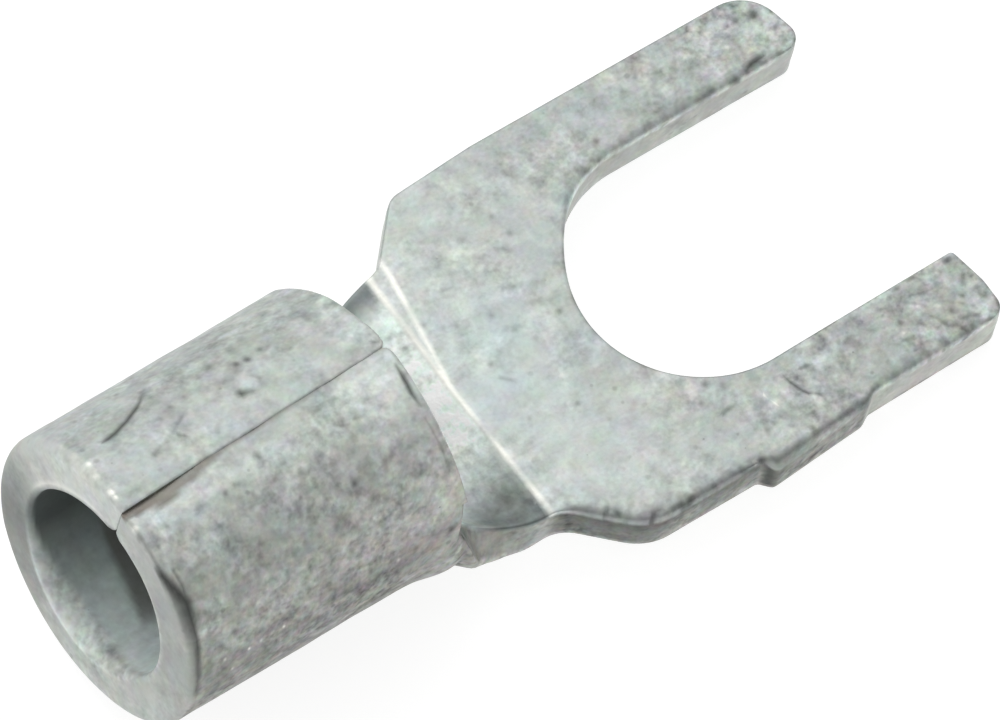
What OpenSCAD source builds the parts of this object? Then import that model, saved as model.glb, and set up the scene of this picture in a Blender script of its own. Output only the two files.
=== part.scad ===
// Fork terminal for a crimped wire: one stamped sheet, rolled into a wire
// barrel with a butt seam on top, stepped up through a trough-shaped neck to
// a flat forked tongue that slips under a screw head.
// Frame: origin on the stud axis, on the tongue's underside. +X runs from the
// barrel to the prong tips, +Z is the seam side. All sizes in millimetres.

/* [Sheet] */
// Thickness of the sheet
sheet_t = 1.05; // [1.0:0.05:1.2]

/* [Wire barrel] */
// Outside diameter of the rolled barrel
barrel_d = 6.05; // [5.6:0.05:6.4]
// Length of the barrel along its axis
barrel_len = 6.65; // [5.8:0.05:7.0]
// How far the bore comes to a point at the seam, past its own radius
seam_apex = 0.2; // [0.1:0.05:0.3]
// Hairline gap between the two rolled edges
seam_gap = 0.04; // [0.02:0.01:0.08]
// Depth of the groove along the outside of the seam
seam_depth = 0.3; // [0.15:0.05:0.4]
// Groove width on the steep edge
seam_steep = 0.12; // [0.05:0.01:0.3]
// Groove width on the rounded edge
seam_slope = 0.42; // [0.2:0.02:0.6]
// Broken edge round the mouth, outside and inside
mouth_break = 0.14; // [0.05:0.01:0.2]
// Lean of the cut at the mouth, the seam side set back, in degrees
mouth_slant = 3; // [0:0.5:4]
// Lean of the cut at the barrel's far end, in degrees
end_slant = 3; // [0:0.5:4]

/* [Tongue] */
// Width of the slot, for a stud of 5 mm
slot_w = 5.3; // [5.0:0.1:5.6]
// Width across both prongs beside the stud
tongue_w = 8.44; // [8.0:0.02:9.0]
// Width across both prongs at their tips
tip_w = 8.26; // [7.8:0.02:8.8]
// From the stud axis to the prong tips
stud_to_tip = 4.3; // [3.6:0.05:5.0]
// From the stud axis back to the barrel's mouth
stud_to_mouth = 14.4; // [14.0:0.05:15.2]
// Height of the tongue's underside above the barrel's lowest line
tongue_lift = 0.68; // [0.6:0.02:1.0]
// Radius of the outer corner on the more rounded prong tip
tip_round_far = 0.85; // [0.5:0.05:1.0]
// Radius of the outer corner on the squarer prong tip
tip_round_near = 0.25; // [0.2:0.05:0.5]
// Length of the sloping shoulder between neck and tongue
shoulder = 1.3; // [1.0:0.05:1.4]
// How far the plain side of the tongue draws in behind the prong
side_step = 0.12; // [0.05:0.01:0.2]

/* [Neck] */
// Width of the neck where it meets the flat tongue
neck_w = 6.0; // [5.6:0.1:6.4]
// From the stud axis back to the crease where the flat tongue begins
stud_to_crease = 5.6; // [5.3:0.05:5.8]
// Slope of the neck's floor at the crease, rise over run
crease_slope = 0.48; // [0.4:0.02:0.6]
// Half-angle of the barrel wall that runs on into the neck, in degrees
neck_wrap = 76; // [70:1:85]

/* [Strip cut-off] */
// Where the stub of the carrier strip starts, from the stud axis towards the barrel
tab_back = 1.42; // [1.0:0.02:1.8]
// Length of the stub along the prong
tab_len = 2.54; // [1.5:0.02:3.0]
// How far the stub stands out
tab_out = 0.27; // [0.1:0.01:0.4]

/* [Hidden] */
barrel_r = barrel_d / 2;
bore_r = barrel_r - sheet_t;
mid_r = barrel_r - sheet_t / 2;
axis_z = barrel_r - tongue_lift;
mouth_x = -stud_to_mouth;
end_x = mouth_x + barrel_len;
crease_x = -stud_to_crease;
neck_x = end_x + barrel_r * sin(end_slant) + 0.01;   // the neck starts to open where the barrel's wall ends all round
neck_len = crease_x - neck_x;
slot_r = slot_w / 2;
half_w = tongue_w / 2;
tip_y = tip_w / 2;
inset = 0.02;   // the neck's skin lies this far inside the walls that it runs into
tin = [0.70, 0.72, 0.70];

// ---- outline helpers -------------------------------------------------------
function unit(v) = v / norm(v);

// Points of a corner at b, between a and c, rounded to radius r
function corner(a, b, c, r, n = 6) =
  r <= 0 ? [b] :
  let (u = unit(a - b), v = unit(c - b),
       half = acos(u * v) / 2,
       o = b + unit(u + v) * r / sin(half),
       s = b + u * r / tan(half), e = b + v * r / tan(half),
       a0 = atan2(s[1] - o[1], s[0] - o[0]),
       a1 = atan2(e[1] - o[1], e[0] - o[0]),
       da = ((a1 - a0 + 540) % 360) - 180)
  [for (k = [0:n]) o + r * [cos(a0 + da * k / n), sin(a0 + da * k / n)]];

// A closed outline with corner i rounded to r[i]
function rounded(p, r) =
  let (n = len(p))
  [for (i = [0:n - 1]) each corner(p[(i + n - 1) % n], p[i], p[(i + 1) % n], r[i])];

function edge_y(x) = half_w + (tip_y - half_w) * (x + tab_back) / (stud_to_tip + tab_back);

// ---- wire barrel -----------------------------------------------------------
// The bore is round but for a shallow point where the two edges meet
module bore_section() {
  a = acos(bore_r / (bore_r + seam_apex));
  circle(r = bore_r, $fn = 96);
  polygon([[0, bore_r + seam_apex],
           [-bore_r * sin(a), bore_r * cos(a)],
           [bore_r * sin(a), bore_r * cos(a)]]);
}

module barrel_section() {
  difference() {
    circle(r = barrel_r, $fn = 96);
    bore_section();
    // groove between the steep edge and the rounded edge
    polygon([[0, barrel_r - seam_depth],
             [seam_steep, barrel_r + 0.1],
             [-seam_slope, barrel_r + 0.1],
             [-seam_slope * 0.8, barrel_r - 0.05],
             [-seam_slope * 0.35, barrel_r - seam_depth * 0.62]]);
    // hairline between the butted edges
    translate([-seam_gap / 2, bore_r]) square([seam_gap, sheet_t]);
  }
}

module barrel() {
  difference() {
    translate([mouth_x - 0.3, 0, axis_z]) rotate([90, 0, 90])
      linear_extrude(barrel_len + 0.7) barrel_section();
    // mouth, cut a little off square, with broken edges
    translate([mouth_x + 0.12, 0, axis_z]) rotate([0, mouth_slant, 0]) {
      translate([-2, -5, -5]) cube([2, 10, 10]);
      rotate([0, 90, 0]) {
        rotate_extrude($fn = 96)
          polygon([[barrel_r - mouth_break, -0.1], [barrel_r + 0.3, -0.1],
                   [barrel_r + 0.3, mouth_break + 0.3]]);
        translate([0, 0, -0.1])
          cylinder(r1 = bore_r + mouth_break + 0.1, r2 = bore_r - 0.3, h = mouth_break + 0.4, $fn = 96);
      }
    }
    // far end, cut a little off square
    translate([end_x, 0, axis_z]) rotate([0, 0, end_slant])
      translate([0, -5, -5]) cube([3, 10, 10]);
  }
}

// ---- neck ------------------------------------------------------------------
// Share of the way from the barrel's end (0) to the crease (1)
function along(x) = min(1, max(0, (x - neck_x) / neck_len));
// The wall unrolls, climbs and narrows on the way
function curl(x) = pow(1 - along(x), 1.8) / mid_r;
// A straight climb to the crease that runs out softly into the barrel's floor
function soft(r) = (r + sqrt(r * r + 0.09)) / 2;
function climb(x) = soft(tongue_lift + crease_slope * (x - crease_x));
function floor_z(x) =
  let (t = along(x))
  t <= 0 ? axis_z - mid_r : t >= 1 ? sheet_t / 2 :
  axis_z - mid_r + climb(x) - climb(neck_x) * (1 - t) - (climb(crease_x) - tongue_lift) * t;
// The rim draws in just past the barrel and widens again to the crease
function half_arc(x) =
  let (t = along(x), h1 = neck_w / 2 - inset, h0 = mid_r * neck_wrap * PI / 180)
  h1 - 0.18 * (1 - t) + (h0 - h1 + 0.18) * pow(max(0, 1 - t / 0.3), 2);

// A point of the section at x: s along the sheet, o above its middle
function neck_pt(x, s, o) =
  let (k = curl(x))
  k < 1e-4 ? [x, s, floor_z(x) + o] :
  let (r = 1 / k, a = s * k * 180 / PI)
  [x, (r - o) * sin(a), floor_z(x) + r - (r - o) * cos(a)];

neck_xs = concat([end_x - 0.5],
                 [for (i = [0:18]) neck_x + neck_len * i / 18],
                 [crease_x + 0.5]);
neck_m = 22;

module neck() {
  h = sheet_t / 2 - inset;
  ring = 2 * (neck_m + 1);
  pts = [for (x = neck_xs) let (w = half_arc(x)) each concat(
           [for (j = [0:neck_m]) neck_pt(x, -w + 2 * w * j / neck_m, -h)],
           [for (j = [neck_m:-1:0]) neck_pt(x, -w + 2 * w * j / neck_m, h)])];
  last = (len(neck_xs) - 1) * ring;
  sides = [for (i = [0:len(neck_xs) - 2], j = [0:ring - 1])
             let (a = i * ring + j, b = i * ring + (j + 1) % ring)
             each [[a, a + ring, b + ring], [a, b + ring, b]]];
  ends = [for (j = [0:neck_m - 1])
            let (a = j, b = j + 1, c = ring - 2 - j, d = ring - 1 - j)
            each [[a, b, c], [a, c, d],
                  [last + a, last + c, last + b], [last + a, last + d, last + c]]];
  polyhedron(points = pts, faces = concat(sides, ends));
}

// ---- tongue ----------------------------------------------------------------
module tongue_outline() {
  nw = neck_w / 2;
  near = crease_x + 0.1; far = crease_x + 0.35;   // where the shoulders leave the neck
  wide = crease_x + 0.1 + shoulder;               // where the tongue is full width
  tab0 = -tab_back; tab1 = tab0 + tab_len;
  difference() {
    polygon(rounded(
      [[crease_x, -nw], [near, -nw], [wide, -half_w],
       // stub of the carrier strip on this side
       [tab0, -half_w], [tab0 + 0.2, -half_w - tab_out],
       [tab1 - 0.15, -half_w - tab_out * 0.45], [tab1 + 0.1, -edge_y(tab1 + 0.1)],
       // squarer prong tip
       [stud_to_tip - 0.1, -tip_y], [stud_to_tip, -slot_r - 0.5 * (tip_y - slot_r)],
       [stud_to_tip - 0.18, -slot_r],
       // slot, open to the tips; its round end is cut below
       [0, -slot_r], [0, slot_r],
       // rounder prong tip
       [stud_to_tip, slot_r], [stud_to_tip, tip_y],
       [-2.3, edge_y(-2.3)],
       [wide, half_w - side_step], [far, nw], [crease_x, nw]],
      [0, 0.5, 1.0,
       0, 0.12, 0.3, 0,
       tip_round_near, 0.9, 0.2,
       0, 0,
       0.2, tip_round_far,
       1.0,
       0.5, 0.5, 0]));
    circle(r = slot_r, $fn = 96);
  }
}

module tongue() {
  linear_extrude(sheet_t) tongue_outline();
}

// ---- the one piece ---------------------------------------------------------
module fork_terminal() {
  color(tin) union() {
    barrel();
    neck();
    tongue();
  }
}

fork_terminal();
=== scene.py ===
import math

import bpy
import numpy as np
from mathutils import Matrix, Vector, kdtree, noise
from mathutils.geometry import delaunay_2d_cdt


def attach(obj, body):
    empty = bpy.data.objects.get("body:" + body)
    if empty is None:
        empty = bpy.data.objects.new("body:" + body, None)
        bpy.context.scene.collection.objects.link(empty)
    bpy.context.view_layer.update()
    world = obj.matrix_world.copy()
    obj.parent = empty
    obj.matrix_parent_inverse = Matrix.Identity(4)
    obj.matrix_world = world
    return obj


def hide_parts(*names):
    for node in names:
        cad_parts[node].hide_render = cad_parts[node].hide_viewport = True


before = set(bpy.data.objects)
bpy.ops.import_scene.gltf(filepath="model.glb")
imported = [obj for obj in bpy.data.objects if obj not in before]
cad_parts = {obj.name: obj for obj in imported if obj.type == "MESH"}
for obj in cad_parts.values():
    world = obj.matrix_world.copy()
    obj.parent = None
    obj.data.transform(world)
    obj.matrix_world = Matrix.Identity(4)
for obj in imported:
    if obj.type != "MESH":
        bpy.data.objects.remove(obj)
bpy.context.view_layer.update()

MM = 0.001

# ---------------------------------------------------------------------------
# The terminal is one stamped sheet. It is drawn here as its flat blank, in
# millimetres: u runs from the wire mouth to the prong tips, v across, with +v
# on the far side of the picture. The blank is meshed with all its edges, then
# rolled and bent: "top" is the tongue's upper face and the bore's inside,
# "bottom" is the tongue's underside and the barrel's outside.
# ---------------------------------------------------------------------------
T = 1.05              # sheet
R = 3.03              # barrel, outside
RHO = R - T / 2       # barrel, middle of the sheet
AXZ = 2.35            # barrel axis above the tongue's underside
LIFT = R - AXZ        # tongue's underside above the barrel's lowest line
UB = 6.45             # barrel's far end
US = 14.2             # stud axis, the origin of the frame
UT = 18.4             # prong tips
SR = 2.65             # slot's half width
HB, HT = 4.22, 4.13   # half widths of the tongue beside the stud and at the tips
V = math.pi * RHO     # half of the barrel's developed width
LAP = 0.004           # the two flaps press against each other at the seam


def corner(a, b, c, r, n=8):
    a, b, c = map(np.asarray, (a, b, c))
    if r <= 0:
        return [b]
    p = (a - b) / np.linalg.norm(a - b)
    q = (c - b) / np.linalg.norm(c - b)
    half = math.acos(float(np.clip(p @ q, -1, 1))) / 2
    if half > math.pi / 2 - 1e-3:
        return [b]
    w = p + q
    o = b + w / np.linalg.norm(w) * r / math.sin(half)
    s = b + p * r / math.tan(half)
    e = b + q * r / math.tan(half)
    a0 = math.atan2(s[1] - o[1], s[0] - o[0])
    a1 = math.atan2(e[1] - o[1], e[0] - o[0])
    da = (a1 - a0 + 3 * math.pi) % (2 * math.pi) - math.pi
    return [o + r * np.array([math.cos(a0 + da * k / n), math.sin(a0 + da * k / n)]) for k in range(n + 1)]


def rounded(p):
    n = len(p)
    out = []
    for i in range(n):
        out += corner(p[i - 1][:2], p[i][:2], p[(i + 1) % n][:2], p[i][2])
    return np.array(out)


def seam_y(u):
    """where the butt seam lies, across the top of the barrel"""
    return -0.10 + 0.025 * u


def mouth_u(v):
    """the cut at the mouth, a little further in on its far side"""
    return -0.20 + 0.04 * np.exp(-((v - 3.0) / 2.0) ** 2)


def edge_y(u):
    return HB + (HT - HB) * (u - 11.5) / (UT - 11.5)


def outline():
    p = []
    # mouth
    lo, hi = -V - seam_y(-.2) - LAP, V - seam_y(-.2) + LAP
    p += [(mouth_u(w), w, .03 if w in (lo, hi) else 0) for w in np.linspace(lo, hi, 41)]
    # far flap: seam edge, its end, then the neck's rim
    p += [(UB - 0.08, V - seam_y(UB) + LAP, .14), (UB - 0.23, 6.4, 0), (UB - 0.46, 5.2, 0.5), (UB - 0.30, 3.75, .3),
          (UB + 0.32, 3.02, .45), (UB + 1.2, 2.84, 1.0), (8.88, 3.0, .5)]
    # far shoulder
    p += [(9.95, HB - 0.10, .5), (11.9, edge_y(11.9), 1.5)]
    # far tip
    p += [(UT + 0.05, HT, .9), (UT + 0.36, SR - .04, .34)]
    # slot, with its round end
    p += [(US, SR, 0)]
    for a in np.linspace(np.pi / 2, 1.5 * np.pi, 61)[1:-1]:
        rr = SR - 0.11 * math.exp(-((a - 2.55) / 0.5) ** 2) - 0.06 * min(max((a - math.pi / 2) / (math.pi / 2), 0), 1)
        p += [(US + rr * math.cos(a), rr * math.sin(a), 0)]
    p += [(US, -SR + .06, 0)]
    # near tip
    p += [(UT + 0.06, -SR + .09, .10), (UT + 0.21, -SR - .5 * (HT - SR), .9), (UT + 0.20, -HT - .03, .32)]
    # near side with the stub of the carrier strip
    t0, t1 = 12.78, 15.32
    p += [(t1 + .1, -edge_y(t1 + .1) - .03, .1), (t1 - .15, -HB - .12, .3), (t0 + .2, -HB - .27, .15), (t0 - .02, -HB - .03, .12)]
    p += [(10.18, -HB - .01, 1.3), (8.93, -3.04, 1.0)]
    # neck's rim and the near flap's end
    p += [(UB + 1.25, -2.95, 1.0), (UB + 0.6, -2.95, .5), (UB - 0.12, -4.05, .35), (UB + 0.02, -4.7, .3), (UB + 0.0, -5.4, 0), (UB - 0.03, -6.2, 0),
          (UB - 0.06, -V - seam_y(UB) - LAP, .2)]
    return rounded(p)


def resample(p, step):
    q = np.vstack([p, p[:1]])
    d = np.r_[0, np.cumsum(np.linalg.norm(np.diff(q, axis=0), axis=1))]
    n = int(round(d[-1] / step))
    s = np.arange(n) * d[-1] / n
    return np.stack([np.interp(s, d, q[:, 0]), np.interp(s, d, q[:, 1])], 1)


def step01(x, a, b):
    t = np.clip((x - a) / (b - a), 0, 1)
    return t * t * (3 - 2 * t)


def bell(x, c, w):
    return np.exp(-((x - c) / w) ** 2)


def soft_min(x, w):
    return (x - np.sqrt(x * x + w * w)) / 2


def soft_max(x, w):
    return (x + np.sqrt(x * x + w * w)) / 2


def crease(v):
    """where the flat tongue ends: one line on the near half, two on the far half"""
    w = np.clip(v, -3.3, 3.3)
    u1 = 8.575 + 0.02 * np.abs(w) + 0.03 * step01(-w, 0.5, 2.5)
    u2 = u1 + 0.36 * np.clip((w - 0.2) / 2.6, 0, 1) ** 0.9
    return u1, u2


def form(u, v, o):
    """u along and v across the flat blank, o above the sheet's middle -> x, y, z, in mm, x from the mouth"""
    top = np.clip(o / T + 0.5, 0, 1)
    # the mouth is cut a little off square
    u = u + (0.11 - 0.17 * np.cos(v / RHO - 0.35)) * np.clip(1 - u / 3.0, 0, 1) ** 2
    u1, u2 = crease(v)
    # the climb from the barrel's floor to the tongue
    w = 0.05 + 0.55 * (1 - top)
    t = np.clip((u - UB) / (u1 - UB), 0, 1)
    ramp = LIFT + 0.24 * (soft_min(u - u1, w) + soft_min(u - u2, w)) + 0.24 * w
    low = soft_max(LIFT + 0.48 * (UB - 1.0 - u1), 0.3)
    t2 = np.clip((u - UB + 1.0) / (u2 - UB + 1.0), 0, 1)
    rise = soft_max(ramp, 0.30) - low * (1 - t2) - (soft_max(LIFT + 0 * u, 0.30) - LIFT) * t2
    rise = np.where(u > UB - 1.0, rise, 0)
    flat = step01(u - u2, 0.2, 2.0)
    rise = rise * (1 - flat) + LIFT * flat
    # the wall unrolls
    g = 1 - (1 - t) ** 1.8
    z0 = (AXZ - RHO) + rise
    k = np.maximum((1 - g) / RHO, 1e-5)
    r = 1 / k
    a = v * k
    y = (r - o) * np.sin(a)
    z = z0 + 2 * r * np.sin(a / 2) ** 2 + o * np.cos(a)
    return np.stack([u + 0 * v, y, z], -1)


def fbm(p, scale, seed):
    off = Vector((seed * 7.31, seed * 3.17, seed * 5.73))
    return np.array([noise.noise(Vector(q) * scale + off) for q in p])


def arc(d, reach, depth):
    """a rounded edge: how far the face has dropped, d in from the edge"""
    x = 1 - np.minimum(d / reach, 1)
    return depth * (1 - np.sqrt(1 - x * x))


# surface marks, listed one by one: side (+1 top, -1 bottom), points of a line with
# half width and strength (dark above 0, bright below), depth
MARKS = [
    (-1, [(0.61, 6.68, 0.039, 0.57), (0.77, 6.67, 0.055, 1), (0.97, 6.64, 0.06, 1), (1.36, 6.53, 0.055, 1), (1.75, 6.37, 0.057, 1), (1.91, 6.28, 0.039, 0.69), (2.27, 5.98, 0.039, 0.23)], 0.02),
    (-1, [(1.23, 7.42, 0.055, 0.57), (1.43, 7.36, 0.06, 0.4), (1.6, 7.34, 0.055, 0.34), (2.04, 7.16, 0.044, 0.34), (2.29, 7.04, 0.044, 0.46)], 0.008),
    (-1, [(1.91, 7.33, 0.039, 0.4), (2.04, 7.43, 0.039, 0.46)], 0.006),
    (-1, [(3.44, 6.41, 0.088, 0.52)], 0.015),
    (-1, [(3.85, 6.68, 0.079, 0.8)], 0.02),
    (-1, [(4.08, 6.71, 0.085, 0.86)], 0.02),
    (-1, [(4.42, 6.65, 0.069, 0.63)], 0.015),
    (-1, [(3.99, 6.29, 0.079, 0.34)], 0.01),
    (-1, [(3.48, 7.24, 0.094, 1), (3.57, 7.27, 0.069, 0.8), (3.73, 7.31, 0.049, 0.46)], 0.03),
    (-1, [(3.33, 6.82, 0.099, 0.32), (3.45, 6.88, 0.099, 0.34), (3.57, 6.88, 0.099, 0.32), (3.76, 6.8, 0.086, 0.37)], 0.012),
    (-1, [(3.88, 7.04, 0.049, 0.29), (3.96, 7.16, 0.049, 0.37), (3.92, 7.28, 0.049, 0.29)], 0.008),
    (-1, [(2.23, 6.77, 0.064, 0.37)], 0.006),
    (-1, [(2.58, 6.73, 0.069, 0.29)], 0.006),
    (-1, [(1.88, 6.89, 0.06, 0.29)], 0.006),
    (-1, [(5.58, 6.64, 0.074, 0.21)], 0.005),
    (-1, [(2.91, 6.77, 0.074, 0.23)], 0.005),
    (-1, [(3.79, 7.64, 0.074, 0.23)], 0.005),
    (-1, [(0.09, -6.56, 0.044, 0.52), (0.12, -6.32, 0.055, 0.57), (0.1, -6.1, 0.06, 0.8)], 0.02),
    (-1, [(2.96, -7.43, 0.074, 0.69)], 0.015),
    (-1, [(3.52, -6.88, 0.079, 0.46)], 0.01),
    (-1, [(4.06, -6.95, 0.074, 0.37)], 0.01),
    (-1, [(5.31, -6.37, 0.079, 0.46)], 0.01),
    (-1, [(4.38, -6.29, 0.074, 0.75)], 0.015),
    (-1, [(1.98, -7.19, 0.064, 0.57)], 0.01),
    (-1, [(2.22, -7.22, 0.064, 0.46), (2.37, -7.19, 0.055, 0.4)], 0.01),
    (-1, [(1.29, -7.19, 0.06, 0.46), (1.43, -7.21, 0.055, 0.46)], 0.01),
    (-1, [(0.48, -7.19, 0.064, 0.4)], 0.01),
    (-1, [(0.04, -7, 0.055, 0.46)], 0.01),
    (-1, [(2.77, -4.93, 0.074, 0.34)], 0.006),
    (-1, [(3.42, -5.33, 0.074, 0.4)], 0.006),
    (-1, [(2.27, -4.85, 0.085, 0.4)], 0.008),
    (-1, [(0.97, -5.08, 0.088, 0.46)], 0.008),
    (-1, [(4.18, -4.66, 0.074, 0.46)], 0.008),
    (-1, [(3.55, -4.55, 0.064, 0.34)], 0.006),
    (-1, [(6.04, -4.52, 0.069, 0.69)], 0.015),
    (-1, [(5.07, -5.47, 0.074, 0.29)], 0.006),
    (-1, [(2.13, -4.57, 0.034, -0.7)], 0),
    (-1, [(1.27, -4.54, 0.034, -0.7)], 0),
    (-1, [(1.57, -4.57, 0.038, -0.35)], 0),
    (-1, [(4.81, -4.55, 0.046, -0.4)], 0),
    (-1, [(0.26, -7.34, 0.042, -0.35)], 0),
    (-1, [(3.81, -7.4, 0.046, -0.25)], 0),
    (-1, [(0.65, -4.63, 0.038, -0.4)], 0),
    (-1, [(0.85, -4.27, 0.038, -0.35)], 0),
    (1, [(10.14, 1.03, 0.069, 0.4)], 0.008),
    (1, [(9.53, -0.17, 0.049, 0.34), (9.69, -0.34, 0.049, 0.34)], 0.006),
    (1, [(9.54, 0.19, 0.069, 0.44)], 0.008),
    (1, [(10.44, -1.37, 0.074, 0.57)], 0.012),
    (1, [(11.31, 0.41, 0.074, 0.57)], 0.012),
    (1, [(10.57, 0.16, 0.074, 0.34)], 0.006),
    (1, [(11.07, 2.12, 0.064, 0.34), (11.22, 2.03, 0.06, 0.34)], 0.006),
    (1, [(11.47, 2.27, 0.074, 0.4)], 0.008),
    (1, [(10.62, 2.63, 0.074, 0.34)], 0.006),
    (1, [(14.04, 2.99, 0.079, 0.69)], 0.012),
    (1, [(11.38, 2.75, 0.069, 0.34)], 0.006),
    (1, [(10.88, -0.02, 0.064, 0.29)], 0.006),
    (1, [(10.77, -1.97, 0.069, 0.29)], 0.006),
    (1, [(10.35, 0.55, 0.069, 0.29)], 0.006),
    (1, [(10.28, 2.03, 0.074, 0.29)], 0.006),
    (1, [(9.48, -1.15, 0.064, 0.29)], 0.006),
    (1, [(8.91, 1.54, 0.064, 0.29)], 0.006),
    (1, [(10.54, -0.71, 0.057, -0.3)], 0),
    (1, [(12.27, 1.6, 0.049, -0.4)], 0),
    (1, [(9.39, 0.47, 0.057, -0.25)], 0),
    (1, [(14.14, -3.04, 0.035, 0.57), (14.16, -3.17, 0.036, 0.86), (14.21, -3.32, 0.036, 0.86), (14.26, -3.46, 0.039, 0.8), (14.32, -3.56, 0.042, 0.92), (14.41, -3.61, 0.036, 0.46), (14.52, -3.71, 0.064, 1)], 0.012),
    (1, [(14.5, -3.05, 0.055, 0.57), (14.61, -3.07, 0.055, 0.63), (14.71, -3.1, 0.039, 0.4)], 0.01),
    (1, [(12.67, -3.05, 0.055, 0.57), (12.82, -3.02, 0.055, 0.57), (12.99, -3.01, 0.039, 0.34)], 0.01),
    (1, [(13.57, -3.13, 0.028, -0.6), (13.57, -3.2, 0.028, -0.5)], 0),
    (1, [(13.65, -3.38, 0.028, -0.6), (13.66, -3.47, 0.028, -0.6)], 0),
    (1, [(13.95, -4.21, 0.06, 0.57), (13.93, -4.3, 0.044, 0.4)], 0.01),
    (1, [(13.2, -3.79, 0.069, 0.46)], 0.008),
    (1, [(12.75, -2.36, 0.079, 0.57)], 0.01),
    (1, [(13.02, -2.57, 0.074, 0.4)], 0.008),
    (1, [(12.46, -2.63, 0.074, 0.4)], 0.008),
    (1, [(15.43, -4.15, 0.06, 0.34), (15.16, -4.34, 0.064, 0.46)], 0.01),
    (1, [(12.73, -4.45, 0.079, 0.86), (12.58, -4.58, 0.079, 0.92)], 0.02),
    (1, [(18.22, 3.58, 0.104, 1)], 0.03),
    (1, [(17.84, 3.68, 0.085, 0.86)], 0.02),
    (1, [(17.64, 3.65, 0.064, 0.34)], 0.006),
    (1, [(18.39, 3.13, 0.064, 0.57)], 0.008),
    (1, [(17.86, 2.78, 0.044, 0.69), (17.71, 2.77, 0.079, 1), (17.54, 2.75, 0.074, 1), (17.41, 2.72, 0.06, 0.69)], 0.03),
    (1, [(17.2, 2.63, 0.039, 0.69), (17.09, 2.65, 0.044, 0.8), (16.98, 2.65, 0.036, 0.52)], 0.012),
    (1, [(16.62, 2.72, 0.049, 0.46), (16.44, 2.68, 0.055, 0.4), (16.2, 2.6, 0.049, 0.34)], 0.008),
    (1, [(16.11, 2.8, 0.064, 0.46)], 0.008),
    (1, [(18.03, 2.87, 0.055, 0.34)], 0.006),
    (1, [(17.37, 3.29, 0.046, -0.4)], 0),
    (1, [(16.54, 3.55, 0.046, -0.35)], 0),
    (1, [(18.24, -2.69, 0.074, 0.8)], 0.012),
    (1, [(17.49, -2.63, 0.055, 0.63), (17.31, -2.63, 0.044, 0.34)], 0.01),
    (1, [(17.05, -2.65, 0.06, 0.57)], 0.008),
    (1, [(18.34, -3.1, 0.049, 0.57), (18.27, -3.2, 0.055, 0.63)], 0.01),
    (1, [(18.06, -3.46, 0.069, 0.75)], 0.012),
    (1, [(17.7, -3.61, 0.079, 0.57)], 0.01),
    (1, [(17.79, -3.86, 0.055, 0.63), (17.93, -3.88, 0.055, 0.57), (18.09, -3.97, 0.049, 0.46)], 0.01),
    (1, [(17.45, -3.02, 0.06, 0.52), (17.23, -2.92, 0.055, 0.46)], 0.01),
    (1, [(16.7, -3.29, 0.074, 0.75)], 0.012),
    (1, [(17.27, -3.47, 0.044, 0.34), (17.37, -3.59, 0.049, 0.4), (17.46, -3.83, 0.064, 0.57), (17.59, -3.91, 0.06, 0.57), (17.71, -4.06, 0.069, 0.57)], 0.01),
    (1, [(17.2, -3.98, 0.074, 0.57), (17.23, -4.15, 0.064, 0.57)], 0.01),
    (1, [(16.77, -4.16, 0.069, 0.57)], 0.01),
    (1, [(16.59, -3.67, 0.064, 0.46)], 0.008),
    (1, [(16.17, -3.14, 0.064, 0.46), (16.04, -3.08, 0.055, 0.34)], 0.008),
    (1, [(17.02, -3.01, 0.064, 0.46)], 0.008),
    (1, [(18.39, -3.44, 0.085, 0.46), (18.39, -3.64, 0.074, 0.4)], 0.01),
    (1, [(15.75, -3.01, 0.06, 0.34), (15.46, -3.08, 0.06, 0.34)], 0.006),
    (1, [(17.19, -3.19, 0.046, -0.4)], 0),
    (1, [(16.62, -3.5, 0.049, -0.45)], 0),
    (1, [(17.52, -3.38, 0.061, -0.3)], 0),
    (1, [(14.68, -2.78, 0.074, 0.29)], 0.006),
    (1, [(16, -3.85, 0.074, 0.29)], 0.006),
    (1, [(14.58, -4.1, 0.057, -0.2)], 0),
    (1, [(12.6, -4.22, 0.061, -0.3)], 0),
    (1, [(8.12, -2.23, 0.085, 0.41), (8.14, -2.39, 0.074, 0.36)], 0.02),
    (1, [(8.12, -2.62, 0.085, 0.44), (8.19, -2.78, 0.074, 0.36)], 0.02),
    (1, [(8.37, 1.4, 0.069, 0.57)], 0.008),
    (1, [(8.28, 1.75, 0.074, 0.4)], 0.006),
    # painted shadow in the slit between the near flap's end and the trough
    (-1, [(6.27, -7.55, .03, .5), (6.26, -7.35, .055, 1.0), (6.23, -7.05, .055, .95), (6.25, -6.8, .03, .4)], 0.03),
    (-1, [(6.22, -6.6, .03, .3), (6.26, -6.1, .03, .35), (6.25, -5.6, .03, .3)], 0.01),
    # painted shadow in the crack along the burr at the mouth's near edge
    (-1, [(-.20, -6.72, .055, .6), (-.17, -6.60, .085, 1.0), (-.12, -6.43, .105, 1.0), (-.02, -6.20, .13, 1.0), (.06, -6.03, .16, 1.0), (.04, -5.76, .135, 1.0), (.02, -5.42, .115, 1.0), (.0, -5.17, .10, 1.0), (-.04, -4.79, .08, .8), (-.08, -4.18, .06, .5)], 0.015),
    (-1, [(-.01, 6.93, .05, -.9)], 0),
    (-1, [(-.10, 7.20, .06, -.4)], 0),
    (-1, [(-.10, 7.60, .055, -1.0)], 0),
    (-1, [(-.10, 7.71, .045, -.9)], 0),
    (-1, [(-.15, -7.43, .05, -.9)], 0),
    (-1, [(-.19, -7.26, .05, .45)], 0),
    (-1, [(6.17, 7.66, .03, .6), (6.24, 7.70, .03, .6)], 0.01),
    (1, [(12.72, -4.27, .09, 1.0)], 0.03),
]


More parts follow.
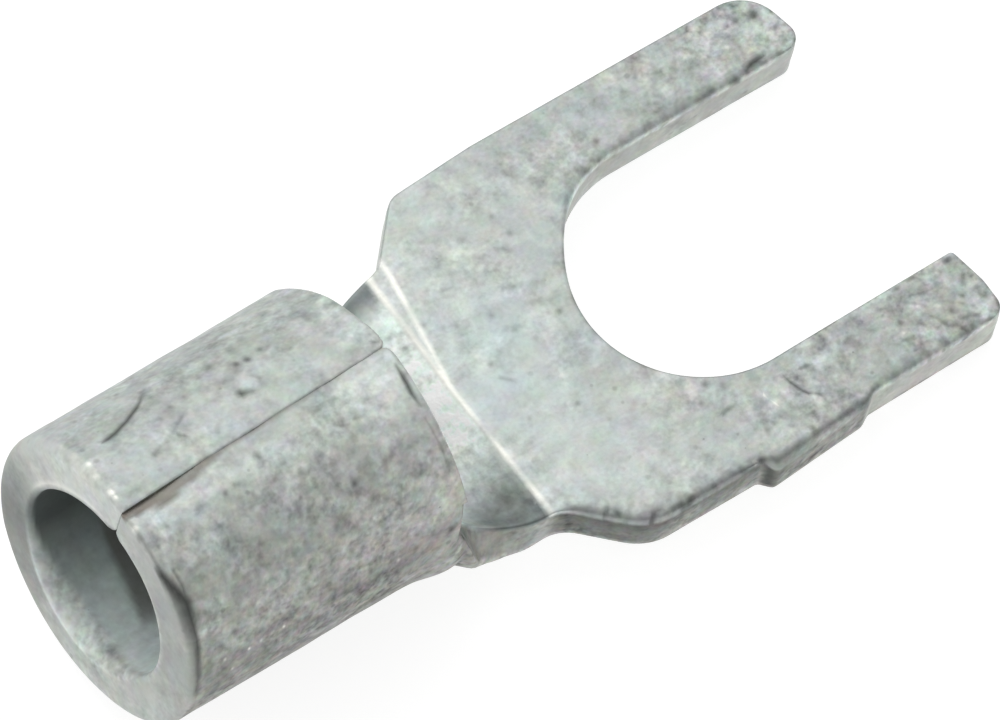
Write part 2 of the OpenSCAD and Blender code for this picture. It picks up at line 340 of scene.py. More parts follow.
def mark_field(p, line):
    """strength of a mark at the points p"""
    if len(line) == 1:
        u, v, h, s = line[0]
        return s * np.exp(-((p[:, 0] - u) ** 2 + (p[:, 1] - v) ** 2) / h ** 2)
    best = np.zeros(len(p))
    for a, b in zip(line[:-1], line[1:]):
        pa, pb = np.array(a[:2]), np.array(b[:2])
        ab = pb - pa
        t = np.clip(((p - pa) @ ab) / (ab @ ab), 0, 1)
        d = np.linalg.norm(p - pa - t[:, None] * ab, axis=1)
        q = (a[3] + (b[3] - a[3]) * t) * np.exp(-(d / (a[2] + (b[2] - a[2]) * t)) ** 2)
        best = np.where(np.abs(q) > np.abs(best), q, best)
    return best


def points_inside(pts, poly):
    x, y = pts[:, 0], pts[:, 1]
    res = np.zeros(len(pts), bool)
    for (x0, y0), (x1, y1) in zip(poly, np.roll(poly, -1, 0)):
        if y0 == y1:
            continue
        hit = ((y0 > y) != (y1 > y))
        res ^= hit & (x < (x1 - x0) * (y - y0) / (y1 - y0) + x0)
    return res


def build_mesh():
    edge = resample(outline(), 0.05)
    nb = len(edge)
    tang = np.roll(edge, -1, 0) - np.roll(edge, 1, 0)
    tang /= np.linalg.norm(tang, axis=1)[:, None]
    # which way is in: the outline's own turning sense says
    area = 0.5 * np.sum(edge[:, 0] * np.roll(edge[:, 1], -1) - np.roll(edge[:, 0], -1) * edge[:, 1])
    inward = np.stack([-tang[:, 1], tang[:, 0]], 1) * (1 if area > 0 else -1)

    dense = resample(outline(), 0.02)
    tree = kdtree.KDTree(len(dense))
    for i, p in enumerate(dense):
        tree.insert((p[0], p[1], 0), i)
    tree.balance()

    def reach(pts):
        return np.array([tree.find((p[0], p[1], 0))[2] for p in pts])

    # candidate points, nearest the edge first
    cells = {}
    S = 0.06

    def free(p, d):
        i0, j0 = int(p[0] // S), int(p[1] // S)
        m = int(d // S) + 1
        for i in range(i0 - m, i0 + m + 1):
            for j in range(j0 - m, j0 + m + 1):
                for q in cells.get((i, j), ()):
                    if (q[0] - p[0]) ** 2 + (q[1] - p[1]) ** 2 < d * d:
                        return False
        cells.setdefault((i0, j0), []).append((p[0], p[1]))
        return True

    pts = [tuple(p) for p in edge]
    for p in pts:
        cells.setdefault((int(p[0] // S), int(p[1] // S)), []).append(p)
    last = 0
    for d in (.012, .042, .09, .15, .23, .33, .45):
        ring = edge + inward * d
        ok = reach(ring) > d * .97
        for p in ring[ok]:
            if free(p, min(.04, (d - last) * .6)):
                pts.append((p[0], p[1]))
        last = d
    # round the marks and along the creases
    fine = []
    for side, line, depth in MARKS:
        if len(line) == 1:
            u, v, rad = line[0][:3]
            for rr, m in ((0, 1), (.5, 6), (1.0, 9), (1.6, 12)):
                for k in range(m):
                    fine.append((u + rad * rr * math.cos(6.2832 * k / m + rr), v + rad * rr * math.sin(6.2832 * k / m + rr)))
            continue
        for a, b in zip(line[:-1], line[1:]):
            half = (a[2] + b[2]) / 2
            a, b = np.array(a[:2]), np.array(b[:2])
            m = max(2, int(np.linalg.norm(b - a) / .04))
            nrm = np.array([-(b - a)[1], (b - a)[0]]) / np.linalg.norm(b - a)
            for k in range(m):
                for w in (0, -.6, .6, -1.1, 1.1, -1.8, 1.8):
                    fine.append(tuple(a + (b - a) * k / m + nrm * w * half))
    for v in np.arange(-3.3, 3.3, .06):
        c1, c2 = crease(np.array([v]))
        for c in (c1[0], c2[0]):
            for w in (0, -.04, .04, -.085, .085):
                fine.append((c + w, v))
    fine = np.array(fine)
    fine = fine[points_inside(fine, edge)]
    for p in fine[reach(fine) > .03]:
        if free(p, .02):
            pts.append((p[0], p[1]))
    # the rest of the sheet
    h = .105
    us = np.arange(-0.4, UT + .3, h * math.sqrt(3) / 2)
    grid = np.array([(u, v + (h / 2 if i % 2 else 0)) for i, u in enumerate(us) for v in np.arange(-8.3, 8.3, h)])
    grid = grid[points_inside(grid, edge)]
    for p in grid[reach(grid) > .45]:
        if free(p, .066):
            pts.append((p[0], p[1]))

    cons = [(i, (i + 1) % nb) for i in range(nb)]
    co, _, tri, _, _, _ = delaunay_2d_cdt([Vector(p) for p in pts], cons, [], 1, 1e-7)
    P = np.array([(c[0], c[1]) for c in co])
    F = np.array(tri)
    # all triangles turn the same way
    A, B, C = P[F[:, 0]], P[F[:, 1]], P[F[:, 2]]
    turn = (B[:, 0] - A[:, 0]) * (C[:, 1] - A[:, 1]) - (B[:, 1] - A[:, 1]) * (C[:, 0] - A[:, 0])
    F = np.where(turn[:, None] < 0, F[:, ::-1], F)
    near = [tree.find((p[0], p[1], 0)) for p in P]
    dist = np.array([q[2] for q in near])
    src = dense[[q[1] for q in near]]
    directed = set()
    for f in F:
        for a, b in ((f[0], f[1]), (f[1], f[2]), (f[2], f[0])):
            directed.add((int(a), int(b)))
    rim = [(a, b) for a, b in directed if (b, a) not in directed]
    dist[np.unique(np.array(rim))] = 0
    return P, F, dist, src, rim


P, F, dist, src, rim = build_mesh()
n = len(P)
u, v = P[:, 0], P[:, 1]
flat3 = np.stack([u, v, 0 * u], 1)
ragged = fbm(np.stack([src[:, 0], src[:, 1], 0 * u], 1), 3.0, 11)

# ---- shape of the two faces -------------------------------------------------
on_mouth = src[:, 0] < mouth_u(src[:, 1]) + .04
on_far = (src[:, 1] > 7.3) & ~on_mouth & (src[:, 0] < UB - .1)
on_near = (src[:, 1] < -7.3) & ~on_mouth & (src[:, 0] < UB - .1)
on_seam = on_far | on_near
d_near = np.maximum(v + V + seam_y(u) + LAP, 0)      # from the near flap's seam edge
d_far = np.maximum(V - seam_y(u) + LAP - v, 0)       # from the far flap's seam edge
d_mouth = np.maximum(u - mouth_u(v), 0)
in_barrel = u < UB + .3

# top face: narrow broken edges on the tongue, the bore's mouth rounder, a point along the seam
stub_out = np.clip((-src[:, 1] - HB) / .2, 0, 1) * (src[:, 0] > 12.6) * (src[:, 0] < 15.5)
# the prong walls and the stub roll over softly at the top
roll = step01(-src[:, 1], 3.5, 4.0) * step01(src[:, 0], 15.2, 15.7) + np.where(src[:, 1] < 2.75, step01(src[:, 1], 1.2, 2.2), 0) * step01(src[:, 0], 12.2, 13.2)
roll *= 1 - step01(src[:, 0], 17.9, 18.35)
# the near shoulder's edge is worn off
worn_off = step01(src[:, 0], 8.7, 9.3) * (1 - step01(src[:, 0], 12.0, 12.6)) * step01(-src[:, 1], 2.8, 3.1)
lt, dt = .055 + .14 * stub_out + .15 * roll + .12 * worn_off, .038 + .24 * stub_out + .13 * roll + .14 * worn_off
lt = np.where(on_seam, .05, lt)
dt = np.where(on_seam, .03, dt)
cut_t = arc(dist, lt, dt)
low_rim = bell(v, .1, 2.1)
cut_t = np.maximum(cut_t, np.where(in_barrel, arc(d_mouth, .06 + .52 * low_rim, .05 + .22 * low_rim), 0))
cut_t = np.maximum(cut_t, np.where(in_barrel & (v > 6), arc(d_far, .60, .30), 0))
cut_t = np.maximum(cut_t, np.where(in_barrel & (v < -6), arc(d_near, .45, .30), 0))

# bottom face: the sheet's sheared edge, a worn chamfer at the mouth beside the seam
lb, db = np.full(n, .07), np.full(n, .06)
at_neck = step01(src[:, 0], UB - .45, UB - .1) * (1 - step01(src[:, 0], 7.6, 8.4)) * (np.abs(src[:, 1]) < 4.9)
lb, db = lb + .26 * at_neck, db + .20 * at_neck
lb = np.where(on_seam, .04, lb)
db = np.where(on_far, .016 + .012 * ragged, np.where(on_near, .012, db))
# the mouth's outer edge, worn round on the near side and towards the seam on the far side
mouth_lb = np.interp(v, [-7.8, -6.7, -6.45, -6.2, -6.03, -5.76, -5.2, -4.8, -4.2, -3.0, 2.5, 4, 5.5, 7, 7.7],
                     [.11, .09, .10, .17, .25, .21, .18, .15, .12, .09, .10, .26, .27, .22, .12])
mouth_db = mouth_lb * np.interp(v, [-6.5, -6, -4, 2.5, 4, 7], [.9, .55, .8, .9, .95, .8])
cut_b = np.where(on_mouth, 0, arc(dist, lb, db))
cut_b = np.maximum(cut_b, np.where(in_barrel, arc(d_mouth, mouth_lb, mouth_db), 0))
valley = .020 + .075 * (1 - step01(u, .6, 2.2))
cut_b = np.maximum(cut_b, np.where((v < -6) & in_barrel, valley * (1 - np.minimum(d_near / .46, 1)) ** 2, 0))

wave_t = .012 * fbm(flat3, .55, 1) + .006 * fbm(flat3, 1.6, 2) + .0025 * fbm(flat3, 5.0, 3)
wave_b = .014 * fbm(flat3, .55, 4) + .007 * fbm(flat3, 1.6, 5) + .0025 * fbm(flat3, 5.0, 6)
mark_t, mark_b = np.zeros(n), np.zeros(n)
dig_t, dig_b = np.zeros(n), np.zeros(n)
for side, line, depth in MARKS:
    q = mark_field(P, line)
    m_, d_ = (mark_t, dig_t) if side > 0 else (mark_b, dig_b)
    m_[:] = np.where(np.abs(q) > np.abs(m_), q, m_)
    d_ += depth * np.maximum(q, 0)

# swell under the near rim where the wall was pressed out, and a little on the far side
ang = np.degrees(v / RHO)
swell = .17 * bell(u, 6.25, .60) * bell(ang, -64, 24) + .05 * bell(u, 6.35, .55) * bell(ang, 75, 25)
# dent at the near end of the trough, with a lip along the rim
pocket = bell(u, 8.02, .36) * bell(v, -2.36, .30)
lip = bell(u, 7.9, .6) * np.where(v < 0, 1, .4) * (1 - step01(dist, .06, .34)) * (np.abs(v) > 2.2)
# raised burr along the mouth's near edge
burr = bell(v, -5.6, .8) * bell(d_mouth, mouth_lb + .02, .06) * (v < -3)

o_t = T / 2 - cut_t + wave_t - dig_t - .04 * pocket + .05 * lip
o_b = -T / 2 + cut_b + wave_b + dig_b - swell - .03 * burr - .04 * step01(u, 8.6, 9.6)
top_xyz = form(u, v, o_t)
bot_xyz = form(u, v, o_b)

# ---- paint: lightness, warmth and mottling of the plating, dark and bright marks; the lightness also holds painted light and shade, and the bright marks are painted highlights
thn = np.degrees((V - np.abs(v)) / RHO)              # round the barrel from its top


def paint(u, v, side, dist, d_near, d_far, mark):
    c1, c2 = crease(v)
    if side > 0:
        far_side = step01(v, -1.0, 1.0)
        tone = far_side * np.interp(u, [9, 10.5, 12, 14, 16, 18], [.97, .92, .86, .80, .73, .78]) \
            + (1 - far_side) * np.interp(u, [9, 10.5, 12, 14, 16, 18], [.98, .95, .86, .81, .77, .755])
        cool = bell(u, 9.8, 1.1) * bell(v, .2, 2.2)
        tone = tone * (1 + .03 * cool)
        warm = .48 - .42 * cool
        mott = 1.0 + .4 * step01(u, 11.5, 13.5) + .45 * step01(u, 15.5, 17.5) - .25 * cool
        # painted shade and light in the bore: its far wall and its depth are painted dark, its floor painted light
        bore = 1 - step01(u, UB - 1.6, UB - .2)
        inside = np.interp(v, [-7, -4, -2, 0, 1.5, 3, 6], [1.0, 1.25, 1.32, 1.2, .56, .14, .13]) * (1 - .3 * step01(u, .9, 2.2))
        tone = tone * (1 - bore) + bore * inside
        # painted highlight on the rounded inner edge of the mouth, broadest low in the bore
        rim_in = (1 - step01(d_mouth, .03 + .34 * low_rim, .09 + .55 * low_rim)) * (1 - .85 * bell(v, 3.8, 1.1))
        tone = tone * (1 - bore * rim_in) + bore * rim_in * (.70 + .42 * low_rim)
        warm = warm * (1 - bore) + bore * (.05 + .4 * rim_in)
        mott = mott * (1 - bore) + bore * (.5 + .8 * rim_in)
        # a dark streak along the floor, where the seam's flap shades it
        reach_u = np.interp(v, [-.9, -.7, -.1, .5, 1.7, 2.4], [1.0, 1.07, 1.22, 1.34, 1.42, 1.5])
        streak = bore * step01(u, reach_u - .24, reach_u - .04) * step01(v, -1.2, -.2) * (1 - step01(u, 2.5, 3.5))
        tone = tone * (1 - .62 * streak)
        # painted light and shade in the trough: bright in its middle, dark and bluish at both ends and in the dent at
        # its near end
        trough = step01(u, UB - .8, UB + .3) * (1 - step01(u, c1 - .12, c1 - .02))
        tone = tone * (1 - trough) + trough * np.interp(v, [-3, -1.5, 0, 1, 2, 3], [1.35, 1.6, 1.75, 1.75, 1.7, 1.2])
        dent = trough * step01(-v, .3, 2.6) * step01(u, 6.5, 7.8)
        tone = tone * (1 - .74 * dent)
        far_end = trough * step01(v, 1.0, 2.3)
        tone = tone * (1 - .30 * far_end - .38 * bell(v, 2.75, .30) * trough)
        warm = warm * (1 - .8 * np.maximum(dent, far_end))
        # a thin darker line along the edge round the slot's near end and along the far side
        round_end = np.hypot(u - US, v) < 3.0
        dull = np.where(round_end & (v < .6), .42, np.where((v > 2.9) & (u > 8.9), .30, 0)) * np.exp(-(dist / .035) ** 2)
        tone = tone * (1 - dull)
        # painted highlight along the rolled-over edges
        tone = tone * (1 + .30 * roll * np.exp(-(dist / .12) ** 2))
        # the near edge behind the stub is rough and dark
        rag = np.clip(.62 + 1.1 * fbm(np.stack([u, v, 0 * u], 1), 1.9, 21) + 1.1 * fbm(np.stack([u, v, 0 * u], 1), 6.3, 22), 0, 1)
        rag = np.maximum(rag, .50 * np.exp(-(dist / .13) ** 2))
        behind = step01(u, 8.9, 9.3) * (1 - step01(u, 12.5, 12.9)) * (v < -2.9)
        tone = tone * (1 - .75 * behind * rag * np.exp(-(dist / np.interp(u, [9, 10.6, 11.6], [.26, .26, .16])) ** 2))
        tone = tone * (1 - .28 * stub_out * (1 - step01(dist, .10, .22)))
        groove, brown = 0 * u, .35 * streak
        dulled = bore
        flat = np.abs(v) < 3.2
        # painted highlights along the two crease lines where the flat tongue ends
        painted_highlight = np.where(flat, np.maximum(.9 * bell(u, c1, .062), .85 * bell(u, c2, .058)), 0)
        painted_highlight *= np.clip(.75 + .6 * fbm(np.stack([u * 0, v, 0 * u], 1), 2.2, 14), .3, 1)
    else:
        near = v < 0
        barrel = 1 - step01(u, UB, UB + .8)
        # painted shade round the barrel: darker going down from its top, most on the near side; the warmth and
        # mottling there are the plating's own stain
        round_n = np.interp(thn, [0, 15, 45, 60, 75, 105, 140], [1.0, 1.05, .95, .77, .47, .40, .48]) * (1 + .2 * step01(u, 4.4, 6.0))
        round_f = np.interp(thn, [0, 30, 60, 90, 140], [.79, .79, .76, .70, .62])
        tone = np.where(near, round_n, round_f)
        tone = tone * barrel + .80 * (1 - barrel)
        warm = np.where(near, np.interp(thn, [0, 20, 50, 80], [.40, .55, .85, 1.0]), .45)
        mott = np.where(near, np.interp(thn, [0, 20, 50, 80], [1.0, 1.2, 1.5, 2.2]), 1.1)
        # the seam: a brown wedge at the mouth, then a thin broken line in a soft valley
        w = np.interp(u, [-.2, .3, .9, 1.6, 2.5], [.12, .20, .25, .18, .04])
        line_n = fbm(np.stack([u, 0 * u, 0 * u], 1), 2.4, 15)
        brown = np.where(near, (1 - step01(d_near, w - .03, w + .04)) * np.interp(u, [-.2, 1.2, 2.2, 4.2, 5.4], [.85, .75, .55, .45, .1]), 0)
        hair = np.clip(.22 + .9 * line_n, .0, .6) * (1 - .8 * step01(u, 2.4, 4.0))
        hair = np.where(u < 1.4, .30, hair)
        dulled = 0 * u
        groove = np.where(near, np.maximum(hair * np.exp(-(d_near / .032) ** 2), .42 * np.exp(-((d_near - w) / .026) ** 2) * (1 - step01(u, .9, 1.5))), 0)
        groove *= in_seam(u)
        # painted shade in the soft valley beside the seam
        tone = tone * (1 - np.where(near, (.08 + .16 * step01(u, 1.6, 2.6)) * np.exp(-(d_near / .26) ** 2) * in_seam(u), 0))
        # painted highlights on the near flap's crest and along the far flap's seam edge
        tone = tone * (1 + np.where(near, .10 * bell(d_near, .44, .12) * bell(u, 2.2, 1.6), .05 * bell(d_far, .07, .04)) * in_seam(u))
        # the worn edge at the mouth takes the end face's lightness, with its painted light and shade
        worn = 1 - step01(d_mouth, .6 * mouth_lb, mouth_lb)
        tone = tone * (1 - worn) + worn * ring_tone(v)
        warm = warm * (1 - worn) + worn * .7
        mott = mott * (1 - worn) + worn * .6
        # brown stain along the end of the near flap
        stain = (v < -4.0) * step01(u, UB - .7, UB - .4) * np.exp(-(dist / .06) ** 2)
        brown = np.maximum(brown, .5 * stain * np.clip(.6 + 1.2 * fbm(np.stack([u, v, 0 * u], 1), 1.8, 23), 0, 1))
        painted_highlight = 0 * u
    # the bright marks are painted glints as well
    painted_highlight = np.maximum(painted_highlight, np.maximum(-mark, 0))
    dark = np.maximum(mark, 0)
    return np.stack([tone, warm, mott, groove, brown, painted_highlight, dark, dulled], 1)


# lightness round the mouth's end face, given place by place round the ring; it carries painted light and shade
# besides the plating's tone
def ring_tone(v):
    return np.interp(v, [-7.6, -6, -4.5, -2.5, 0, 1.5, 3, 4.2, 5, 6.5, 7.6], [.82, .65, .64, .82, .86, .58, .39, .58, .82, .98, .96])


def in_seam(u):
    return 1 - step01(u, UB - .25, UB - .1)


paint_t = paint(u, v, 1, dist, d_near, d_far, mark_t)
paint_b = paint(u, v, -1, dist, d_near, d_far, mark_b)

verts = [top_xyz, bot_xyz]
coat = [paint_t, paint_b]
wall = [np.zeros(n), np.zeros(n)]
faces = [F, F[:, ::-1] + n]

# ---- walls between the two faces ---------------------------------------------
rim_v = np.unique(np.array(rim))
at = {int(i): k for k, i in enumerate(rim_v)}
m = len(rim_v)
nxt = {a: b for a, b in rim}
prv = {b: a for a, b in rim}
out_n = np.zeros((m, 2))
for i in rim_v:
    t_ = P[nxt[int(i)]] - P[prv[int(i)]]
    t_ /= np.linalg.norm(t_)
    out_n[at[int(i)]] = (t_[1], -t_[0])
ROWS = 8
base = 2 * n
ru, rv = P[rim_v][:, 0], P[rim_v][:, 1]
wall_pts = np.stack([ru, rv, np.zeros(m)], 1)
grain = fbm(wall_pts, 9.0, 8)
broad = fbm(wall_pts, 1.2, 9)
is_mouth = 1 - step01(ru - mouth_u(rv), .02, .10)
is_seam = np.where((np.abs(rv) > 7.3) & (is_mouth < .5) & (ru < UB - .1), 1.0, 0.0)
# the near side's walls behind the stub are sheared rougher and darker than the prongs; painted shade darkens them
# further, less towards their lower edge
shoulder = np.where(rv < -2.8, step01(ru, 8.4, 8.9) * (1 - step01(ru, 12.6, 13.0)), 0)
stub = np.where(rv < -HB - .02, step01(ru, 12.7, 12.9) * (1 - step01(ru, 15.1, 15.4)), 0)
slot_wall = np.where((np.abs(rv) < 2.8) & (ru > 11.2) & (ru < 17.5), 1.0, 0.0)
neck = np.where((np.abs(rv) < 4.4), step01(ru, UB - .3, UB) * (1 - step01(ru, 8.3, 8.6)), 0)
FLECKS = [(1.2, -.45, .10, .5), (2.1, -.46, .08, .6), (.2, -.45, .07, .4)]
for k in range(1, ROWS):
    f = k / ROWS
    o = o_t[rim_v] * (1 - f) + o_b[rim_v] * f
    tear = .5 + .5 * np.sin(6.0 * f + 2.5 * broad)
    push = (1 - is_seam) * (1 - .7 * is_mouth) * math.sin(math.pi * f) * (.006 * grain + .012 * tear)
    q = P[rim_v] + out_n * push[:, None]
    verts.append(form(q[:, 0], q[:, 1], o))
    # painted light and shade on the walls: lighter towards their lower edge, painted shade on the near walls, the
    # stub and the neck, deepest in the concave crease where the neck meets the barrel
    tone = .84 + .06 * f - .05 * slot_wall
    tone = tone - .57 * shoulder * (1 - (.20 + .50 * step01(ru, 10.0, 11.0)) * f) - .34 * stub - (.16 + .22 * bell(ru, UB - .05, .5)) * neck
    # the mouth's walls take the ring's lightness, painted light and shade included
    ring = ring_tone(rv)
    tone = tone * (1 - is_mouth) + is_mouth * ring
    warm = .85 * (1 - is_mouth) + .70 * is_mouth
    mott = .75 + 1.2 * shoulder + .9 * stub + .9 * neck - is_mouth * (.20 - .35 * bell(rv, 0, 2.5))
    c = np.zeros((m, 8))
    c[:, 0], c[:, 1], c[:, 2] = tone, warm, mott
    c[:, 4] = .4 * is_seam * (1 - .7 * step01(ru, 2.0, 3.0)) + .35 * neck * np.clip(.4 + broad, 0, 1)
    c[:, 6] = .85 * stub * bell(ru, 12.86, .15)
    # painted highlight along the bore's upper edge
    c[:, 5] = is_mouth * .35 * step01(rv, 4.2, 5.0) * (1 - step01(rv, 7.2, 7.7)) * math.exp(-((f - .10) / .10) ** 2)
    # bright nicks on the end face, painted as glints
    for fv, fo, fr, fs in FLECKS:
        c[:, 5] = np.maximum(c[:, 5], is_mouth * fs * np.exp(-((rv - fv) ** 2 + (o + fo) ** 2) / fr ** 2))
    coat.append(c)
    wall.append(1 - .6 * is_mouth)


def row_id(i, k):
    if k == 0:
        return i
    if k == ROWS:
        return n + i
    return base + (k - 1) * m + at[i]


quads = []
for a, b in rim:
    for k in range(ROWS):
        quads.append((row_id(a, k), row_id(a, k + 1), row_id(b, k + 1), row_id(b, k)))

verts = np.vstack(verts)
verts[:, 0] -= US
coat = np.vstack(coat)
wall = np.concatenate(wall)

mesh = bpy.data.meshes.new("tinned_fork_terminal")
all_faces = [tuple(map(int, f)) for f in np.vstack(faces)] + quads
mesh.from_pydata([tuple(p * MM) for p in verts], [], all_faces)
mesh.validate()
mesh.update()
mesh.shade_smooth()


def put(name, values):
    a = mesh.attributes.new(name, "FLOAT", "POINT")
    a.data.foreach_set("value", np.ascontiguousarray(values, dtype=np.float32))


for i, name in enumerate(("tone", "warm", "mott", "groove", "brown", "painted_highlight", "mark", "dull")):
    put(name, coat[:, i])
put("wall", wall)

# the two flaps meet at crisp edges along the seam
crisp = np.zeros(len(verts), bool)
crisp[n + rim_v[is_seam > .5]] = True
ends = np.zeros(2 * len(mesh.edges), dtype=np.int32)
mesh.edges.foreach_get("vertices", ends)
sharp = mesh.attributes.new("sharp_edge", "BOOLEAN", "EDGE")
sharp.data.foreach_set("value", crisp[ends[0::2]] & crisp[ends[1::2]])

terminal = bpy.data.objects.new("tinned_fork_terminal", mesh)
bpy.context.scene.collection.objects.link(terminal)

# ---------------------------------------------------------------------------
# Tin plating
# ---------------------------------------------------------------------------
mat = bpy.data.materials.new("tin_plating")
mat.use_nodes = True
nt = mat.node_tree
nt.nodes.clear()


def wire(a, b):
    nt.links.new(a, b)


def feed(sock, x):
    if isinstance(x, (int, float)):
        sock.default_value = x
    elif isinstance(x, tuple):
        sock.default_value = (*x, 1) if len(sock.default_value) == 4 else x
    else:
        wire(x, sock)


def calc(op, a, b=None, clamp=False):
    nd = nt.nodes.new("ShaderNodeMath")
    nd.operation = op
    nd.use_clamp = clamp
    for i, x in enumerate((a, b)):
        if x is not None:
            feed(nd.inputs[i], x)
    return nd.outputs[0]


def vec(op, a, b=None, c=None, scale=None):
    nd = nt.nodes.new("ShaderNodeVectorMath")
    nd.operation = op
    for i, x in enumerate((a, b, c)):
        if x is not None:
            feed(nd.inputs[i], x)
    if scale is not None:
        feed(nd.inputs["Scale"], scale)
    return nd.outputs[0]


def mix_colour(fac, a, b, blend="MIX"):
    nd = nt.nodes.new("ShaderNodeMix")
    nd.data_type = "RGBA"
    nd.blend_type = blend
    nd.clamp_factor = True
    for sock, x in ((nd.inputs[0], fac), (nd.inputs[6], a), (nd.inputs[7], b)):
        feed(sock, x)
    return nd.outputs[2]


def remap(x, a, b, c=0.0, d=1.0):
    nd = nt.nodes.new("ShaderNodeMapRange")
    nd.interpolation_type = "SMOOTHSTEP"
    wire(x, nd.inputs[0])
    for i, y in enumerate((a, b, c, d)):
        nd.inputs[i + 1].default_value = y
    return nd.outputs[0]


def attribute(name):
    nd = nt.nodes.new("ShaderNodeAttribute")
    nd.attribute_name = name
    return nd.outputs["Fac"]


out = nt.nodes.new("ShaderNodeOutputMaterial")
bsdf = nt.nodes.new("ShaderNodeBsdfPrincipled")
wire(bsdf.outputs[0], out.inputs[0])
coord = nt.nodes.new("ShaderNodeTexCoord")
X = vec("SCALE", coord.outputs["Object"], scale=1000.0)


def noise_tex(scale, detail=2.0, rough=.5, warp=0.0, which="Fac"):
    nd = nt.nodes.new("ShaderNodeTexNoise")
    nd.inputs["Scale"].default_value = scale
    nd.inputs["Detail"].default_value = detail
    nd.inputs["Roughness"].default_value = rough
    nd.inputs["Distortion"].default_value = warp
    wire(X, nd.inputs["Vector"])
    return nd.outputs[which]


tone_a, warm_a, mott_a = attribute("tone"), attribute("warm"), attribute("mott")
wall_a, groove_a, brown_a, painted_highlight_a, mark_a = (attribute(s) for s in ("wall", "groove", "brown", "painted_highlight", "mark"))

broad_n = noise_tex(1.1, 1.0, .5, .3)
mid_n = noise_tex(2.6, 1.0, .5, .2)
blot = noise_tex(5.0, 1.0, .5, .2)
speck = noise_tex(10.5, 1.0, .5)
patch = noise_tex(.8, 1.0, .5, .5)
tints = noise_tex(4.2, 2.0, .6, 0, "Color")
clouds = noise_tex(1.5, 1.0, .5, 0, "Color")

# lightness of the plating, blotchy at several sizes
lump = calc("ADD", calc("MULTIPLY", broad_n, .15), calc("MULTIPLY", mid_n, .32))
lump = calc("ADD", lump, calc("ADD", calc("MULTIPLY", blot, .34), calc("MULTIPLY", speck, .19)))
lump = calc("MULTIPLY", calc("SUBTRACT", lump, .5), remap(patch, .35, .65, 1.15, 2.2))
light = calc("MULTIPLY", tone_a, calc("ADD", 1.0, calc("MULTIPLY", lump, mott_a)))
colour = mix_colour(warm_a, (.555, .628, .618), (.612, .622, .588))
colour = vec("SCALE", colour, scale=light)
# the plating's hue wanders: greenish, bluish, pinkish spots
drift = vec("SCALE", vec("SUBTRACT", tints, (.5, .5, .5)), scale=calc("MULTIPLY", mott_a, .19))
drift = vec("ADD", drift, vec("SCALE", vec("SUBTRACT", clouds, (.5, .5, .5)), scale=.13))
colour = vec("MULTIPLY", colour, vec("ADD", drift, (1.0, 1.0, 1.0)))

# pinholes in the plating
cell = nt.nodes.new("ShaderNodeTexVoronoi")
cell.feature = "F1"
wire(X, cell.inputs["Vector"])
cell.inputs["Scale"].default_value = 3.4
pick = nt.nodes.new("ShaderNodeSeparateColor")
wire(cell.outputs["Color"], pick.inputs[0])
size = calc("MULTIPLY", remap(pick.outputs[0], .40, 1.0), .30)
hole = calc("SUBTRACT", 1.0, remap(calc("DIVIDE", cell.outputs["Distance"], calc("ADD", size, .001)), .3, 1.0), True)
hole = calc("MULTIPLY", hole, remap(pick.outputs[1], .2, .9, .10, .42))
hole = calc("MULTIPLY", hole, calc("MULTIPLY", mott_a, .8), True)
colour = mix_colour(hole, colour, (.19, .20, .19))

# seam, burr, marks, and the painted highlights on the creases and nicks
colour = mix_colour(brown_a, colour, (.188, .160, .135))
colour = mix_colour(calc("MULTIPLY", groove_a, .92), colour, (.075, .068, .060))
colour = mix_colour(calc("MULTIPLY", mark_a, .88), colour, (.065, .070, .066))
colour = mix_colour(painted_highlight_a, colour, (.97, .965, .90))
wire(colour, bsdf.inputs["Base Color"])
# the bore was never rubbed: its plating is dull
wire(calc("SUBTRACT", 1.0, calc("MULTIPLY", attribute("dull"), .85)), bsdf.inputs["Metallic"])

rough = calc("ADD", .44, calc("MULTIPLY", blot, .16))
rough = calc("ADD", rough, calc("MULTIPLY", wall_a, .08))
rough = calc("SUBTRACT", rough, calc("MULTIPLY", painted_highlight_a, .12))
wire(rough, bsdf.inputs["Roughness"])

height = calc("ADD", calc("MULTIPLY", blot, .5), calc("MULTIPLY", speck, .5))
height = calc("SUBTRACT", calc("MULTIPLY", height, mott_a), calc("MULTIPLY", hole, .9))
bump = nt.nodes.new("ShaderNodeBump")
bump.inputs["Strength"].default_value = 1.0
bump.inputs["Distance"].default_value = .009 * MM
wire(height, bump.inputs["Height"])
wire(bump.outputs[0], bsdf.inputs["Normal"])
mesh.materials.append(mat)

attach(terminal, "root")
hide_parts("fork_terminal")

# ---------------------------------------------------------------------------
# Floor, light, camera
# ---------------------------------------------------------------------------
# the terminal lies on the barrel's end and the two prong tips
slope = (LIFT - .05) / (UT - UB)
floor_mesh = bpy.data.meshes.new("floor")
S = 1.5


def floor_z(x):
    return -LIFT * MM + slope * (x - (UB - US) * MM) - .00002


floor_mesh.from_pydata([(-S, -S, floor_z(-S)), (S, -S, floor_z(S)), (S, S, floor_z(S)), (-S, S, floor_z(-S))], [], [(0, 1, 2, 3)])
floor = bpy.data.objects.new("floor", floor_mesh)
bpy.context.scene.collection.objects.link(floor)
fm = bpy.data.materials.new("floor_white")
fm.use_nodes = True
fb = fm.node_tree.nodes["Principled BSDF"]
fb.inputs["Base Color"].default_value = (.34, .34, .34, 1)
fb.inputs["Roughness"].default_value = .9
fb.inputs["Specular IOR Level"].default_value = 0.0
fb.inputs["Emission Color"].default_value = (1, 1, 1, 1)
fb.inputs["Emission Strength"].default_value = .82
floor_mesh.materials.append(fm)

right = Vector((.8060279, -.5798552, .1186882))
up = Vector((.4756320, .7539152, .4531955))
back = Vector((-.3522686, -.3088363, .8834744))
aim = Vector((10 - US, 0, 1.5)) * MM

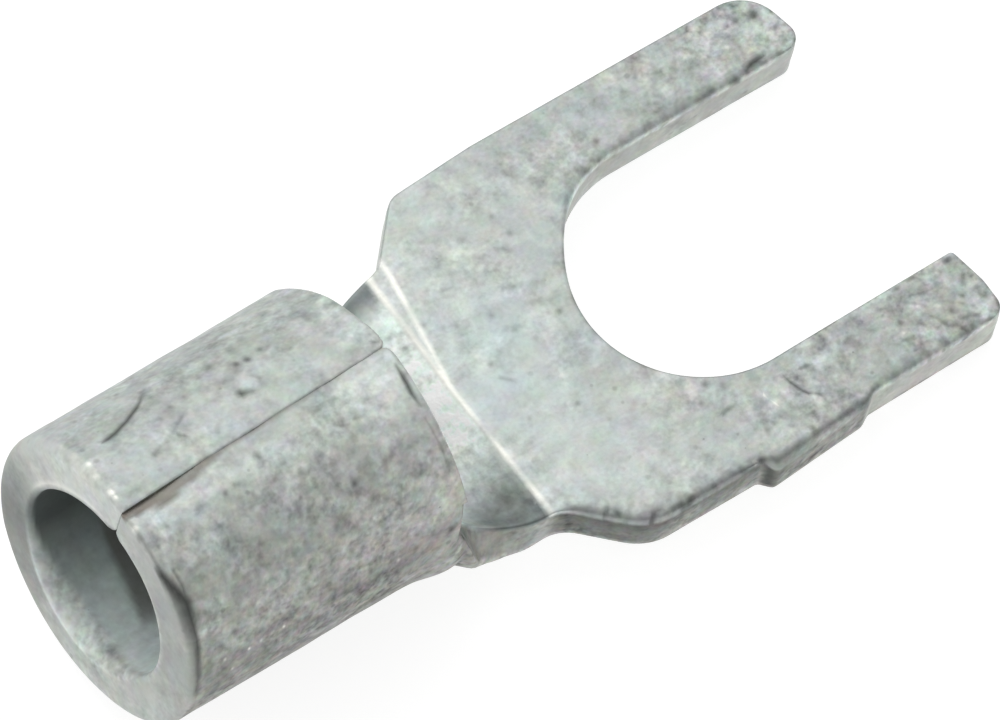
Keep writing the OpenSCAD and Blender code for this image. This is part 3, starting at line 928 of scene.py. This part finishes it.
cam_data = bpy.data.cameras.new("camera")
cam_data.sensor_width = 36
cam_data.lens = 52.6598 * 36 * .5
cam_data.clip_start, cam_data.clip_end = .01, 10
cam = bpy.data.objects.new("camera", cam_data)
bpy.context.scene.collection.objects.link(cam)
place = aim + (right * ((500 - 519.857) / 52.6598) + up * ((349.214 - 360) / 52.6598) + back * 500) * MM
rot = Matrix((right, up, back)).transposed()
cam.matrix_world = Matrix.Translation(place) @ rot.to_4x4()
bpy.context.scene.camera = cam


def softbox(name, direction, distance, size, radiance, colour=(1, 1, 1)):
    d = (right * direction[0] + up * direction[1] + back * direction[2]).normalized()
    data = bpy.data.lights.new(name, "AREA")
    data.shape = "SQUARE"
    data.size = size
    data.energy = radiance * math.pi * size * size
    data.color = colour
    o = bpy.data.objects.new(name, data)
    bpy.context.scene.collection.objects.link(o)
    o.location = aim + d * distance
    o.rotation_mode = "QUATERNION"
    o.rotation_quaternion = (-d).to_track_quat("-Z", "Y")
    o.visible_camera = False
    return o


softbox("key", (-.10, .90, .40), .6, .55, .75)
softbox("left", (-.85, .35, .40), .6, .40, .60)

# soft surround, brighter from the upper left of the picture than from the lower right
world = bpy.data.worlds.new("world")
bpy.context.scene.world = world
world.use_nodes = True
wt = world.node_tree
bg = wt.nodes["Background"]
bg.inputs[0].default_value = (1.0, 1.0, .99, 1)
axis = (right * -.40 + up * .85 + back * .34).normalized()
direction = wt.nodes.new("ShaderNodeTexCoord")
dot = wt.nodes.new("ShaderNodeVectorMath")
dot.operation = "DOT_PRODUCT"
wt.links.new(direction.outputs["Generated"], dot.inputs[0])
dot.inputs[1].default_value = axis
ramp = wt.nodes.new("ShaderNodeMapRange")
ramp.interpolation_type = "SMOOTHSTEP"
wt.links.new(dot.outputs["Value"], ramp.inputs[0])
for i, x in enumerate((-.7, .8, .30, .85)):
    ramp.inputs[i + 1].default_value = x
wt.links.new(ramp.outputs[0], bg.inputs[1])
bpy.context.scene.view_settings.view_transform = "Standard"

print("triangles", 2 * len(F) + 2 * len(quads), "points", len(verts))
